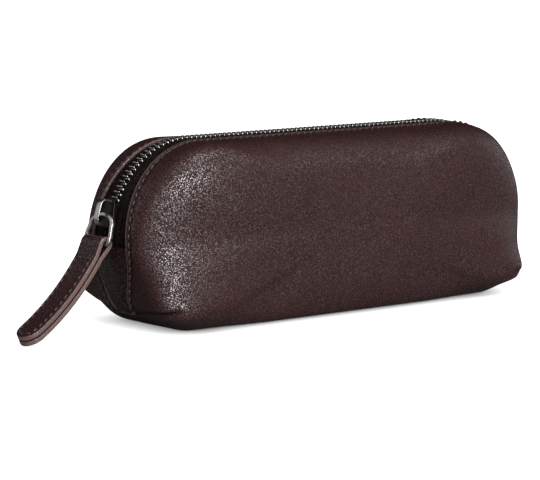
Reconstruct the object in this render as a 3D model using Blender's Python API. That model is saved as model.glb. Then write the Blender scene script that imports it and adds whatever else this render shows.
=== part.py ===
"""Pen pouch of soft leather with a metal zip over its top, closed and standing on its base.

The body is one piece of leather: it wraps under the base, and a dart boxes each lower corner.
The zip runs from low on the near end (-X), over the top, to low on the far end (+X).
Metres, +Z up, -Y is the front. The origin is the middle of the base.
"""
import bpy
import bmesh
import numpy as np
from math import asin, atan2, cos, hypot, pi, radians, sin, sqrt
from mathutils import Matrix, Vector

for leftover in list(bpy.data.objects):
    bpy.data.objects.remove(leftover, do_unlink=True)

# Fits
CLEARANCE = 0.0003           # between pieces that lie on each other

# Pouch, over the leather
LENGTH = 0.200
HEIGHT = 0.072
DEPTH = 0.058
SHOULDER_ANGLE = radians(57.5)   # where the end's round gives way to the shoulder's
BASE_FLAT = 0.016            # half width of the flat base
LEATHER = 0.0015

# Form of the outline, seen from the front, as shares of the height
END_RADIUS_SHARE = 0.54      # round of each end
END_CENTRE_SHARE = 0.47      # height of its centre
KEEL_RADIUS_SHARE = 0.25     # round from the base up to the end
BELLY_SHARE = 0.50           # where front and rear are fullest
MOUTH_WIDEST_SHARE = 0.42    # where the mouth is widest

# Mouth between the two leather edges
ZIP_END_ANGLE = radians(-45.5)   # below the end's centre, where the zip stops
MOUTH_TOP = 0.0148
MOUTH_END = 0.0210
MOUTH_LOW = 0.0096
MARGIN = 0.0030              # leather that lies flat on the tape, out to the stitching
TAPER_DROP = 0.0040          # below the top, where the mouth starts to widen

# Fullness of the sides: a section runs from the mouth to the fullest point as
# share^OUT + share^ACROSS = 1, and both powers change round the outline.
SECTION_PIVOT = 0.040        # from the middle, where the directions round the outline are taken
DIRECTION_SHARES = (-1.0, -0.51, -0.29, 0.0, 0.48, 1.0)     # of a right angle: base to top
OUT_POWERS = (3.5, 3.2, 7.0, 2.5, 6.0, 4.2)
ACROSS_POWERS = (4.0, 2.2, 4.4, 2.3, 2.6, 2.1)

# Boxed corners: the dart's tip pushes each lower corner out, less at the rear, where the base
# curls up and the corners sit higher. Each pair is the front's value, then the rear's.
CORNER_PUSHES = (0.0071, 0.0055)
CORNER_HEIGHTS = (0.0066, 0.0136)
CORNER_DROPS = (0.0032, 0.0050)      # how far down the push fades out
CORNER_RISE = 0.0090                 # and how far up
CORNER_PUSH_ANGLE = radians(30)
LINING_PUSH_SHARE = 0.4              # the lining cuts the corners
CORNER_ACROSS_SHARES = (0.35, 0.9)    # of the half depth
CORNER_ALONG_SHARES = (0.35, 0.80)    # of the half length
END_PUSH = 0.0032                    # between two corners, each end is pushed out less
END_PUSH_HEIGHT = 0.0071
END_PUSH_RISE = 0.0086
END_PUSH_DROP = 0.0045
END_ALONG_SHARES = (0.60, 0.85)       # of the half length
DART_ROWS = 6                        # rows of the grid that the dart cuts

# Grid
END_STEPS_LOW = 5            # on the end's round, zip end to tab
END_STEPS_HIGH = 6           # tab to shoulder
SHOULDER_STEPS = 2
TOP_STEPS = 3
KEEL_STEPS = 4
BASE_STEPS = 2
SECTION_STEPS = 8
LINING_STEPS = 4             # as SECTION_STEPS, for the lining
SHARP_ANGLE = radians(40)    # edges sharper than this aren't shaded smooth

# Tape
TAPE = 0.0007
TAPE_INNER = 0.0025          # from the zip's middle line to the tape's inner edge
TAPE_OUTER = 0.0154
CROWN = 0.00125              # how far the zip's middle stands out from under the leather
TAB_ANGLE = radians(-2)      # end tab's upper edge, on the end's round
TAB = 0.0009

# Lining
LINING = 0.0006
LINING_SETBACK = 0.0012      # from the leather edge to the lining's edge
LINING_STEP_SHARES = (1.18, 1.45)    # of TAPE_OUTER: where it rises back to the leather

# Chain
CHAIN_START = 0.0008         # first tooth past the slider's middle
PITCH = 0.00225
TOOTH_THICK = 0.00078
TOOTH_REACH = 0.00075        # past the middle line
CHAIN_HALF = 0.0022          # middle line to the row's outer side
TOOTH_HALF_HEIGHT = 0.00115
HEAD_HALF_HEIGHT = 0.00090
CORD_WIDTH = 0.0009
CORD_SIDE = 0.00025          # from the row's outer side
CORD_HALF_HEIGHT = 0.0007
STOP_LENGTH = 0.0014
STOP_BACK = 0.0005           # each top stop's side from the middle line
STOP_EDGE = 0.0002
BOTTOM_STOP_LENGTH = 0.0024
BOTTOM_STOP_ANGLE = radians(2)

# Slider
SLIDER_ANGLE = radians(16.4)     # where it stands on the near end's round when the zip is closed
SLIDER_LENGTH = 0.0118
SLIDER_WIDTH = 0.0090
SLIDER_PLATE = 0.0009
SLIDER_EDGE = 0.0004
SLIDER_SEAT = 0.0002         # below the chain's middle line, as the chain curves and the slider doesn't
CHANNEL_HEIGHT = 0.0034
CHANNEL_HALF = 0.0026        # round the closed chain
CHANNEL_MOUTH_HALF = 0.0034  # round the parted chain
TAPE_SLOT = 0.0022
POST_HALF = 0.0009
POST_TIP_SHARE = -0.14       # of the slider's half length
CHANNEL_TURN_SHARE = 0.06
SLIDER_OUTLINE_SHARES = ((1.0, 0.46), (0.84, 0.74), (0.2, 0.82), (-0.35, 1.0), (-0.8, 0.92), (-1.0, 0.56))
OVERRUN = 0.0020             # of every cutter

# Bridge
BRIDGE_WIDTH = 0.0020
BRIDGE = 0.0008
BRIDGE_TOP_SHARE = 0.83      # of the slider's half length, at the closed chain's side
BRIDGE_LOW_SHARE = 0.93
WINDOW = 0.0042              # between the plate and the arch's crown
BRIDGE_POWER = 0.5           # 1 would make the arch an ellipse, and less makes it squarer
BRIDGE_STEPS = 14

# Pull
WIRE = 0.0016
LOOP_TOP_HALF = 0.0068       # to the wire's middle
LOOP_RISE = 0.0040           # of the arch at the top
LOOP_LOW_HALF = 0.0075
LOOP_LENGTH = 0.0112         # pivot to pull bar
LOOP_SHANK = 0.0030          # above the pull bar, where the sides start to close in
LOOP_CORNER = 0.0012
LOOP_SEAT = -0.0008          # pivot along the slider, from its middle
LOOP_LEAN = radians(19.0)    # out from hanging straight down
LOOP_ARCH_STEPS = 8
LOOP_CORNER_STEPS = 3
WIRE_SIDES = 8
STRAP_WIDTH = 0.0126
PLY = 0.0019
STRAP_LENGTH = 0.0508        # pull bar to tip
STRAP_LEAN_TOP = radians(33)
STRAP_LEAN_TIP = radians(67)
STRAP_SIDE = 0.0070          # how far the tip drifts to the front
STRAP_SIDE_POWER = 1.6
STRAP_JOIN = 0.0060          # below the bar, where the two plies come together
PLY_GAP = 0.0003
STRAP_TIP_TURN = radians(84)
STRAP_TIP_STEPS = 5
STRAP_RUN_STEPS = 8
STRAP_EYE_STEPS = 10


def smooth(share):
    """0 below 0, 1 above 1, and an S curve between."""
    share = np.clip(share, 0.0, 1.0)
    return share * share * (3.0 - 2.0 * share)


def arc(centre_x, centre_z, radius, angles):
    """Stations on a round: x, z and the outward normal, one row for each angle."""
    angles = np.asarray(angles)
    c, s = np.cos(angles), np.sin(angles)
    return np.stack([centre_x + radius * c, centre_z + radius * s, c, s], axis=1)


def level(xs, height, way):
    """Stations along a level line, whose outward normal points up (1) or down (-1)."""
    xs = np.asarray(xs)
    return np.stack([xs, xs * 0 + height, xs * 0, xs * 0 + way], axis=1)


def mirrored(stations):
    """The same stations on the near end, in the opposite order."""
    return stations[::-1] * np.array([-1, 1, -1, 1])


# The outline's rounds, and their centres at the far end
END_RADIUS = END_RADIUS_SHARE * HEIGHT
END_CENTRE_HEIGHT = END_CENTRE_SHARE * HEIGHT
KEEL_RADIUS = KEEL_RADIUS_SHARE * HEIGHT
BELLY_HEIGHT = BELLY_SHARE * HEIGHT
END_X = LENGTH / 2 - END_RADIUS
SHOULDER_RADIUS = ((HEIGHT - END_CENTRE_HEIGHT - END_RADIUS * sin(SHOULDER_ANGLE))
                   / (1 - sin(SHOULDER_ANGLE)))
SHOULDER_X = END_X + (END_RADIUS - SHOULDER_RADIUS) * cos(SHOULDER_ANGLE)
SHOULDER_Z = END_CENTRE_HEIGHT + (END_RADIUS - SHOULDER_RADIUS) * sin(SHOULDER_ANGLE)
KEEL_DROP = KEEL_RADIUS - END_CENTRE_HEIGHT
KEEL_X = END_X + sqrt((END_RADIUS - KEEL_RADIUS) ** 2 - KEEL_DROP ** 2)
KEEL_JOIN_ANGLE = atan2(KEEL_DROP, KEEL_X - END_X)


def far_zip_stations():
    """Zip stations of the far half, from the middle of the top to the zip's end."""
    top = level(np.linspace(0, SHOULDER_X, TOP_STEPS + 1), HEIGHT, 1)
    shoulder = arc(SHOULDER_X, SHOULDER_Z, SHOULDER_RADIUS,
                   np.linspace(pi / 2, SHOULDER_ANGLE, SHOULDER_STEPS + 1))
    high = arc(END_X, END_CENTRE_HEIGHT, END_RADIUS,
               np.linspace(SHOULDER_ANGLE, TAB_ANGLE, END_STEPS_HIGH + 1))
    low = arc(END_X, END_CENTRE_HEIGHT, END_RADIUS,
              np.linspace(TAB_ANGLE, ZIP_END_ANGLE, END_STEPS_LOW + 1))
    return np.concatenate([top, shoulder[1:], high[1:], low[1:]])


def far_base_stations():
    """Stations under the zip's far end, round the keel, to the middle of the base."""
    keel = arc(KEEL_X, KEEL_RADIUS, KEEL_RADIUS,
               np.linspace(KEEL_JOIN_ANGLE, -pi / 2, KEEL_STEPS + 1))
    base = level(np.linspace(KEEL_X, 0, BASE_STEPS + 1), 0, -1)
    return np.concatenate([keel, base[1:]])


FAR_ZIP = far_zip_stations()
FAR_BASE = far_base_stations()
ZIP = np.concatenate([mirrored(FAR_ZIP), FAR_ZIP[1:]])
BASE = np.concatenate([FAR_BASE, mirrored(FAR_BASE)[1:]])
ZIP_END_HEIGHT = float(FAR_ZIP[-1, 1])


def section_values(stations):
    """The two powers, and the half widths of the mouth and of the flat strip, at each station."""
    x, z = np.abs(stations[:, 0]), stations[:, 1]
    direction = np.arctan2(z - END_CENTRE_HEIGHT, x - SECTION_PIVOT)
    keys = np.array(DIRECTION_SHARES) * pi / 2
    out = np.interp(direction, keys, OUT_POWERS)
    across = np.interp(direction, keys, ACROSS_POWERS)
    heights = (ZIP_END_HEIGHT, MOUTH_WIDEST_SHARE * HEIGHT, HEIGHT - TAPER_DROP, HEIGHT)
    mouth = np.interp(z, heights, (MOUTH_LOW, MOUTH_END, MOUTH_TOP, MOUTH_TOP)) / 2
    below = np.clip((ZIP_END_HEIGHT - z) / ZIP_END_HEIGHT, 0, 1)
    flat = mouth + MARGIN + (BASE_FLAT - MOUTH_LOW / 2 - MARGIN) * below
    return out, across, mouth, flat


def push_corners(points, push_share):
    """Points moved out by a share of the leather's push, at the lower corners and between them at each end."""
    x, y, z = points[..., 0], points[..., 1], points[..., 2]
    push, height, drop = (np.where(y > 0, rear, front)
                          for front, rear in (CORNER_PUSHES, CORNER_HEIGHTS, CORNER_DROPS))
    fade = np.where(z > height, CORNER_RISE, drop)
    weight = push_share * np.exp(-((z - height) / fade) ** 2)
    low, high = CORNER_ACROSS_SHARES
    cornered = smooth((np.abs(y) / (DEPTH / 2) - low) / (high - low))
    low, high = CORNER_ALONG_SHARES
    weight = weight * cornered * smooth((np.abs(x) / (LENGTH / 2) - low) / (high - low))
    fade = np.where(z > END_PUSH_HEIGHT, END_PUSH_RISE, END_PUSH_DROP)
    end_weight = push_share * (1 - cornered) * np.exp(-((z - END_PUSH_HEIGHT) / fade) ** 2)
    low, high = END_ALONG_SHARES
    end_weight = end_weight * smooth((np.abs(x) / (LENGTH / 2) - low) / (high - low))
    moved = points.copy()
    moved[..., 0] += np.sign(x) * (push * weight * cos(CORNER_PUSH_ANGLE) + END_PUSH * end_weight)
    moved[..., 1] += np.sign(y) * push * weight * sin(CORNER_PUSH_ANGLE)
    return moved


def section_points(stations, across, inset, side, push_share=1):
    """Points at a distance across from the middle plane, set in under the leather's face.

    across, measured on the leather's face, and inset have a row for each row of points
    and a column for each station.
    """
    out_power, across_power, _, flat = section_values(stations)
    rim = stations[None, :, :2] - inset[..., None] * stations[None, :, 2:]
    share = np.clip((across - flat) / (DEPTH / 2 - flat), 0, 1)
    reach = (1 - share ** across_power) ** (1 / out_power)
    x = rim[..., 0] * reach
    z = BELLY_HEIGHT + (rim[..., 1] - BELLY_HEIGHT) * reach
    y = np.minimum(across, flat) + (DEPTH / 2 - inset - flat) * share
    return push_corners(np.stack([x, side * y, z], axis=-1), push_share)


def section_rows(stations, first, steps):
    """Distances across: the first row (given), the flat strip's edge, then steps to the fullest point."""
    _, across_power, _, flat = section_values(stations)
    over_tape = np.maximum(TAPE_OUTER, flat + MARGIN / 2)
    start = np.arcsin(((over_tape - flat) / (DEPTH / 2 - flat)) ** (across_power / 2))
    turns = start + (pi / 2 - start) * np.linspace(0, 1, steps + 1)[:, None]
    curve = flat + (DEPTH / 2 - flat) * np.sin(turns) ** (2 / across_power)
    return np.concatenate([[first, flat], curve])


def end_angle(stations):
    """Each station's direction from the centre of its end's round."""
    return np.arctan2(stations[:, 1] - END_CENTRE_HEIGHT, np.abs(stations[:, 0]) - END_X)


def finish(name, color, roughness, metallic=0.0):
    """A Principled material."""
    material = bpy.data.materials.new(name)
    material.use_nodes = True
    shader = material.node_tree.nodes["Principled BSDF"]
    shader.inputs["Base Color"].default_value = (*color, 1.0)
    shader.inputs["Roughness"].default_value = roughness
    shader.inputs["Metallic"].default_value = metallic
    return material


def solid(name, points, faces, material):
    """One closed object, its faces turned outwards and its round faces shaded smooth."""
    mesh = bpy.data.meshes.new(name)
    mesh.from_pydata([tuple(p) for p in points], [], faces)
    shape = bmesh.new()
    shape.from_mesh(mesh)
    bmesh.ops.recalc_face_normals(shape, faces=shape.faces)
    shape.to_mesh(mesh)
    shape.free()
    mesh.materials.append(material)
    mesh.shade_smooth()
    mesh.set_sharp_from_angle(angle=SHARP_ANGLE)
    obj = bpy.data.objects.new(name, mesh)
    bpy.context.scene.collection.objects.link(obj)
    return obj


def thick_sheet(name, outer, inner, faces, material):
    """A sheet with two faces of its own and a rim along its free edges."""
    count = len(outer)
    edges = {(a, b) for face in faces for a, b in zip(face, face[1:] + face[:1])}
    free = [(a, b) for a, b in edges if (b, a) not in edges]
    back = [tuple(i + count for i in reversed(face)) for face in faces]
    rim = sorted((b, a, a + count, b + count) for a, b in free)
    return solid(name, np.concatenate([outer, inner]), faces + back + rim, material)


def loft(name, rings, material, closed=False):
    """One closed object from rings of as many points each: a tube, closed or with two end faces."""
    rings = np.asarray(rings)
    count, sides = rings.shape[:2]
    faces = []
    for ring in range(count if closed else count - 1):
        after = (ring + 1) % count
        for side in range(sides):
            beside = (side + 1) % sides
            faces.append((ring * sides + side, ring * sides + beside,
                          after * sides + beside, after * sides + side))
    if not closed:
        faces.append(tuple(range(sides)))
        faces.append(tuple((count - 1) * sides + side for side in range(sides)))
    return solid(name, rings.reshape(-1, 3), faces, material)


def grid_faces(rows, columns, first=0):
    """Quads of a grid of points kept row by row."""
    quads = []
    for row in range(rows - 1):
        for column in range(columns - 1):
            a = first + row * columns + column
            quads.append((a, a + 1, a + columns + 1, a + columns))
    return quads


# Wrapped sheets: the leather body and its lining

STATIONS = np.concatenate([ZIP, BASE])
COLUMNS = len(STATIONS)
FAR_END = len(ZIP) - 1       # column of the zip's far end; the near end is column 0
BASE_COLUMNS = list(range(FAR_END, COLUMNS)) + [0]


def wrapped_points(inset_at, first, steps, push_share):
    """Points of a sheet all round the pouch: both sides row by row, poles last, and the keel line."""
    across = section_rows(STATIONS, first, steps)
    sides = [section_points(STATIONS, across, inset_at(across), side, push_share) for side in (-1, 1)]
    keel = section_points(STATIONS, 0 * first[None], inset_at(0 * first[None]), 1)
    return sides, keel


def wrapped_sheet(name, insets, push_share, first, steps, dart_rows, material):
    """A sheet that wraps under the base and leaves the zip's mouth open, between two insets.

    Its two sides meet along the keel line. A dart of dart_rows rows runs in from each end
    of the mouth on each side: its two edges are points of their own, a clearance apart.
    """
    layers = [wrapped_points(inset, first, steps, push_share) for inset in insets]
    last_row = steps + 2
    lists, places = ([], []), {}

    def place(key, picked):
        places[key] = len(lists[0])
        for target, point in zip(lists, picked):
            target.append(point)

    for side in (0, 1):
        for row in range(last_row):
            for column in range(COLUMNS):
                here = [sides[side][row, column] for sides, _ in layers]
                if column not in (0, FAR_END) or row >= dart_rows:
                    place((side, row, column, "zip"), here)
                    places[side, row, column, "base"] = places[side, row, column, "zip"]
                    continue
                up = 1 if column == 0 else FAR_END - 1
                for edge, way in (("zip", 1), ("base", -1)):
                    moved = []
                    for (sides, _), point in zip(layers, here):
                        toward = sides[side][row, up] - point
                        moved.append(point + way * CLEARANCE / 2 * toward / np.linalg.norm(toward))
                    place((side, row, column, edge), moved)
        place((side, "pole"), [sides[side][last_row, 0] for sides, _ in layers])
    for column in BASE_COLUMNS:
        place(("keel", column), [keel[0, column] for _, keel in layers])

    faces = []
    for side in (0, 1):
        for column in range(COLUMNS):
            after = (column + 1) % COLUMNS
            edge = "base" if column >= FAR_END else "zip"
            for row in range(last_row):
                quad = [places[side, row, column, edge], places[side, row, after, edge]]
                if row < last_row - 1:
                    quad += [places[side, row + 1, after, edge], places[side, row + 1, column, edge]]
                else:
                    quad.append(places[side, "pole"])
                faces.append(tuple(quad if side else quad[::-1]))
            if edge == "base":
                quad = [places["keel", column], places["keel", after],
                        places[side, 0, after, edge], places[side, 0, column, edge]]
                faces.append(tuple(quad if side else quad[::-1]))
    return thick_sheet(name, np.array(lists[0]), np.array(lists[1]), faces, material)


def make_body_leather():
    """Outer leather, one piece from the front edge under the base to the rear edge."""
    _, _, mouth, _ = section_values(STATIONS)
    insets = (lambda across: 0 * across, lambda across: 0 * across + LEATHER)
    wrapped_sheet("body_leather", insets, 1, mouth, SECTION_STEPS, DART_ROWS,
                  finish("dark_brown_leather", (0.050, 0.024, 0.024), 0.42))


def make_body_lining():
    """Lining of the same cut, let in under the tape, with its edge just clear of the chain."""
    _, _, mouth, _ = section_values(STATIONS)
    at_zip = np.ones(COLUMNS)
    at_zip[FAR_END + 2:-1] = 0
    low, high = LINING_STEP_SHARES

    def under_tape(across):
        return at_zip * (1 - smooth((across / TAPE_OUTER - low) / (high - low)))

    def outer(across):
        return LEATHER + CLEARANCE + (TAPE + CLEARANCE) * under_tape(across)

    insets = (outer, lambda across: outer(across) + LINING)
    wrapped_sheet("body_lining", insets, LINING_PUSH_SHARE, mouth + LINING_SETBACK, LINING_STEPS, 0,
                  finish("lining_cotton", (0.060, 0.045, 0.040), 0.9))


# Zip tapes, end tabs

def tape_depth(stations, across):
    """Depth of the tape's outer face: under the leather, and crowned up to the chain between."""
    _, _, mouth, _ = section_values(stations)
    crown = smooth((end_angle(stations) - ZIP_END_ANGLE) / (TAB_ANGLE - ZIP_END_ANGLE))
    slope = smooth((across - TAPE_INNER) / (mouth - CLEARANCE - TAPE_INNER))
    return LEATHER + CLEARANCE - CROWN * crown * (1 - slope)


def make_tape(name, side):
    """Woven tape from the chain out to under the leather, its ends under the flaps of the base."""
    stations = np.concatenate([mirrored(FAR_BASE[:1]), ZIP, FAR_BASE[:1]])
    _, _, mouth, flat = section_values(stations)
    inner_row = 0 * mouth + TAPE_INNER
    across = np.stack([inner_row, (inner_row + mouth) / 2, mouth - CLEARANCE, flat,
                       np.maximum(TAPE_OUTER, flat + MARGIN / 2)])
    depth = tape_depth(stations, across)
    outer = section_points(stations, across, depth, side)
    inner = section_points(stations, across, depth + TAPE, side)
    rows, columns = across.shape
    return thick_sheet(name, outer.reshape(-1, 3), inner.reshape(-1, 3), grid_faces(rows, columns),
                       finish(name + "_weave", (0.030, 0.020, 0.018), 0.85))


def make_end_tab(name, far):
    """Leather tab over the tapes' ends, between the two leather edges, below the slider's stop."""
    low = FAR_ZIP[-1]
    above = FAR_ZIP[-2]
    spacing = hypot(*(above - low)[:2])
    stations = np.concatenate([FAR_ZIP[-END_STEPS_LOW - 1:-1],
                               [low + (above - low) * CLEARANCE / 2 / spacing]])
    if not far:
        stations = mirrored(stations)
    _, _, mouth, _ = section_values(stations)
    inner_row = 0 * mouth + TAPE_INNER
    half = np.stack([mouth - CLEARANCE, (inner_row + mouth) / 2, inner_row])
    across = np.concatenate([half, 0 * half[:1], half[::-1]])
    side = np.array([-1] * 3 + [1] * 4)[:, None]
    depth = tape_depth(stations, across) - CLEARANCE
    inner = section_points(stations, across, depth, side)
    outer = section_points(stations, across, depth - TAB, side)
    rows, columns = across.shape
    return thick_sheet(name, outer.reshape(-1, 3), inner.reshape(-1, 3), grid_faces(rows, columns),
                       finish(name + "_leather", (0.042, 0.022, 0.021), 0.5))


# Chain

CHAIN_DEPTH = LEATHER + CLEARANCE + TAPE / 2 - CROWN
CHAIN_END_RADIUS = END_RADIUS - CHAIN_DEPTH
CHAIN_SHOULDER_RADIUS = SHOULDER_RADIUS - CHAIN_DEPTH
SHOULDER_END = SHOULDER_X + CHAIN_SHOULDER_RADIUS * (pi / 2 - SHOULDER_ANGLE)


def chain_distance(angle):
    """Distance along the chain from the top's middle to an angle on an end's round."""
    return SHOULDER_END + CHAIN_END_RADIUS * (SHOULDER_ANGLE - angle)


def chain_stations(distances):
    """Stations on the chain's middle line, from the top's middle, less than 0 to the near end."""
    distances = np.asarray(distances, dtype=float)
    away = np.abs(distances)
    on_top = level(np.minimum(away, SHOULDER_X), HEIGHT - CHAIN_DEPTH, 1)
    on_shoulder = arc(SHOULDER_X, SHOULDER_Z, CHAIN_SHOULDER_RADIUS,
                      pi / 2 - (away - SHOULDER_X) / CHAIN_SHOULDER_RADIUS)
    on_end = arc(END_X, END_CENTRE_HEIGHT, CHAIN_END_RADIUS,
                 SHOULDER_ANGLE - (away - SHOULDER_END) / CHAIN_END_RADIUS)
    place = np.where((away < SHOULDER_X)[:, None], on_top,
                     np.where((away < SHOULDER_END)[:, None], on_shoulder, on_end))
    way = np.where(distances < 0, -1.0, 1.0)[:, None]
    return place * np.concatenate([way, way * 0 + 1, way, way * 0 + 1], axis=1)


def chain_rings(distances, corners, side):
    """A ring of corners, each (distance from the middle line, height), at each distance."""
    rings = []
    for x, z, out_x, out_z in chain_stations(distances):
        rings.append([(x + out_x * height, side * across, z + out_z * height)
                      for across, height in corners])
    return rings


def make_teeth(name, side, offset):
    """One row: teeth clamped on a cord along the tape's edge, reaching past the middle line."""
    tooth = [(CHAIN_HALF, TOOTH_HALF_HEIGHT), (CHAIN_HALF, -TOOTH_HALF_HEIGHT),
             (-TOOTH_REACH, -HEAD_HALF_HEIGHT), (-TOOTH_REACH, HEAD_HALF_HEIGHT)]
    cord_out = CHAIN_HALF - CORD_SIDE
    cord = [(cord_out, CORD_HALF_HEIGHT), (cord_out, -CORD_HALF_HEIGHT),
            (cord_out - CORD_WIDTH, -CORD_HALF_HEIGHT), (cord_out - CORD_WIDTH, CORD_HALF_HEIGHT)]
    start = CHAIN_START - chain_distance(SLIDER_ANGLE)
    end = chain_distance(BOTTOM_STOP_ANGLE) - BOTTOM_STOP_LENGTH - TOOTH_THICK
    count = int((end - start - offset) / PITCH) + 1
    rings = []
    for number in range(count):
        middle = start + offset + number * PITCH
        near, far = middle - TOOTH_THICK / 2, middle + TOOTH_THICK / 2
        if number > 0:
            rings += chain_rings([near], cord, side)
        rings += chain_rings([near, far], tooth, side)
        if number < count - 1:
            rings += chain_rings([far], cord, side)
    return loft(name, rings, finish(name + "_nickel", (0.20, 0.19, 0.18), 0.30, 1.0))


def make_chain_block(name, middle, length, inner, outer, material):
    """A small metal block on the chain's line, between two distances across."""
    height = TOOTH_HALF_HEIGHT
    corners = [(outer, height), (outer, -height), (inner, -height), (inner, height)]
    rings = chain_rings([middle - length / 2, middle + length / 2], corners, 1)
    obj = loft(name, rings, material)
    edge = obj.modifiers.new("edge", "BEVEL")
    edge.width = STOP_EDGE
    edge.segments = 1
    return obj


def make_stops():
    """A stop on each tape under the closed slider, and one across both rows at the far end."""
    slider_end = chain_distance(SLIDER_ANGLE) + SLIDER_LENGTH / 2
    middle = -(slider_end + STOP_LENGTH / 2 + 2 * CLEARANCE)
    for name, side in (("top_stop_front", -1), ("top_stop_rear", 1)):
        make_chain_block(name, middle, STOP_LENGTH, side * STOP_BACK, side * CHAIN_HALF,
                         finish(name + "_nickel", (0.22, 0.21, 0.20), 0.3, 1.0))
    middle = chain_distance(BOTTOM_STOP_ANGLE) - BOTTOM_STOP_LENGTH / 2
    make_chain_block("bottom_stop", middle, BOTTOM_STOP_LENGTH, -CHAIN_HALF, CHAIN_HALF,
                     finish("bottom_stop_nickel", (0.22, 0.21, 0.20), 0.3, 1.0))


# Slider and pull. Each has a frame whose Y is its joint's axis.

def turned(place_x, place_z, turn):
    """Frame at a place in the middle plane, turned about Y."""
    return Matrix.Translation((place_x, 0, place_z)) @ Matrix.Rotation(turn, 4, "Y")


SLIDER_TRAVEL = turned(-END_X, END_CENTRE_HEIGHT, SLIDER_ANGLE - pi / 2)
SLIDER_FRAME = SLIDER_TRAVEL @ Matrix.Translation((0, 0, CHAIN_END_RADIUS - SLIDER_SEAT))
PLATE_TOP = CHANNEL_HEIGHT / 2 + SLIDER_PLATE
PIVOT = SLIDER_FRAME @ Vector((LOOP_SEAT, 0, PLATE_TOP + CLEARANCE + WIRE / 2))
LOOP_FRAME = turned(PIVOT.x, PIVOT.z, LOOP_LEAN)
BAR = LOOP_FRAME @ Vector((0, 0, -LOOP_LENGTH))
STRAP_FRAME = turned(BAR.x, BAR.z, 0)


def carried(obj, parent, parent_frame, frame):
    """obj placed by its own frame, and carried by its parent."""
    obj.parent = parent
    obj.matrix_basis = parent_frame.inverted() @ frame


def prism(name, outline, low, high, material=None, edge=0.0):
    """An upright prism over an outline of (x, y), its ends drawn in by an edge."""
    outline = np.array(outline)
    reach = np.abs(outline).max(axis=0)
    drawn = outline * (1 - edge / reach)
    levels = [(drawn, low), (outline, low + edge), (outline, high - edge), (drawn, high)]
    if not edge:
        levels = [(outline, low), (outline, high)]
    rings = [[(x, y, z) for x, y in points] for points, z in levels]
    return loft(name, rings, material)


def cut(obj, cutter, parent):
    """A Boolean cut, with its cutter kept out of the render."""
    cutter.parent = parent
    cutter.matrix_basis = SLIDER_TRAVEL.inverted() @ SLIDER_FRAME
    cutter.hide_render = True
    cutter.display_type = "WIRE"
    modifier = obj.modifiers.new(cutter.name, "BOOLEAN")
    modifier.operation = "DIFFERENCE"
    modifier.solver = "EXACT"
    modifier.object = cutter


def make_slider_body(axis):
    """Two plates on a post, with flanges round the chain and a slot each side for the tape."""
    half_length, half_width = SLIDER_LENGTH / 2, SLIDER_WIDTH / 2
    right = [(u * half_length, v * half_width) for u, v in SLIDER_OUTLINE_SHARES]
    outline = right + [(u, -v) for u, v in reversed(right)]
    metal = finish("slider_gunmetal", (0.16, 0.15, 0.145), 0.22, 1.0)
    body = prism("slider_body", outline, -PLATE_TOP, PLATE_TOP, metal, SLIDER_EDGE)
    carried(body, axis, SLIDER_TRAVEL, SLIDER_FRAME)

    past = half_length + OVERRUN
    turn = CHANNEL_TURN_SHARE * half_length
    channel = [(past, CHANNEL_HALF), (turn, CHANNEL_HALF), (-past, CHANNEL_MOUTH_HALF),
               (-past, POST_HALF), (POST_TIP_SHARE * half_length, 0)]
    channel += [(u, -v) for u, v in reversed(channel[:-1])]
    cut(body, prism("channel_cutter", channel, -CHANNEL_HEIGHT / 2, CHANNEL_HEIGHT / 2, metal), axis)
    for name, side in (("front_slot_cutter", -1), ("rear_slot_cutter", 1)):
        inner = side * (CHANNEL_HALF - CLEARANCE)
        outer = side * (half_width + OVERRUN)
        slot = [(past, inner), (past, outer), (-past, outer), (-past, inner)]
        cut(body, prism(name, slot, -TAPE_SLOT / 2, TAPE_SLOT / 2, metal), axis)
    return body


def make_slider_bridge(axis):
    """Arched strip on the slider's outer plate, which holds the pull."""
    foot = PLATE_TOP + CLEARANCE
    rise = WINDOW + BRIDGE - CLEARANCE
    top, low = BRIDGE_TOP_SHARE * SLIDER_LENGTH / 2, -BRIDGE_LOW_SHARE * SLIDER_LENGTH / 2
    turns = np.linspace(0, pi, BRIDGE_STEPS + 1)
    way = np.sign(np.cos(turns)) * np.abs(np.cos(turns)) ** BRIDGE_POWER
    height = np.clip(np.sin(turns), 0, 1) ** BRIDGE_POWER
    outline = []
    for inset, order in ((0, 1), (BRIDGE, -1)):
        arch = np.stack([(top + low) / 2 + ((top - low) / 2 - inset) * way,
                         foot + (rise - inset) * height], axis=1)
        outline += arch[::order].tolist()
    rings = [[(u, v, w) for u, w in outline] for v in (-BRIDGE_WIDTH / 2, BRIDGE_WIDTH / 2)]
    bridge = loft("slider_bridge", rings, finish("bridge_gunmetal", (0.20, 0.19, 0.185), 0.2, 1.0))
    carried(bridge, axis, SLIDER_TRAVEL, SLIDER_FRAME)
    return bridge


def loop_route():
    """Middle line of the pull's wire, (y, z): an arch under the bridge, splayed sides, a pull bar."""
    arch = [(LOOP_TOP_HALF * sin(a), LOOP_RISE * (cos(a) - 1))
            for a in np.linspace(-pi / 2, pi / 2, LOOP_ARCH_STEPS + 1)]
    corner = [(LOOP_LOW_HALF - LOOP_CORNER * (1 - sin(a)), -LOOP_LENGTH + LOOP_CORNER * (1 - cos(a)))
              for a in np.linspace(pi / 2, 0, LOOP_CORNER_STEPS + 1)]
    side = [(LOOP_LOW_HALF, LOOP_SHANK - LOOP_LENGTH)] + corner
    return np.array(arch + side + [(-y, z) for y, z in reversed(side)])


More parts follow.
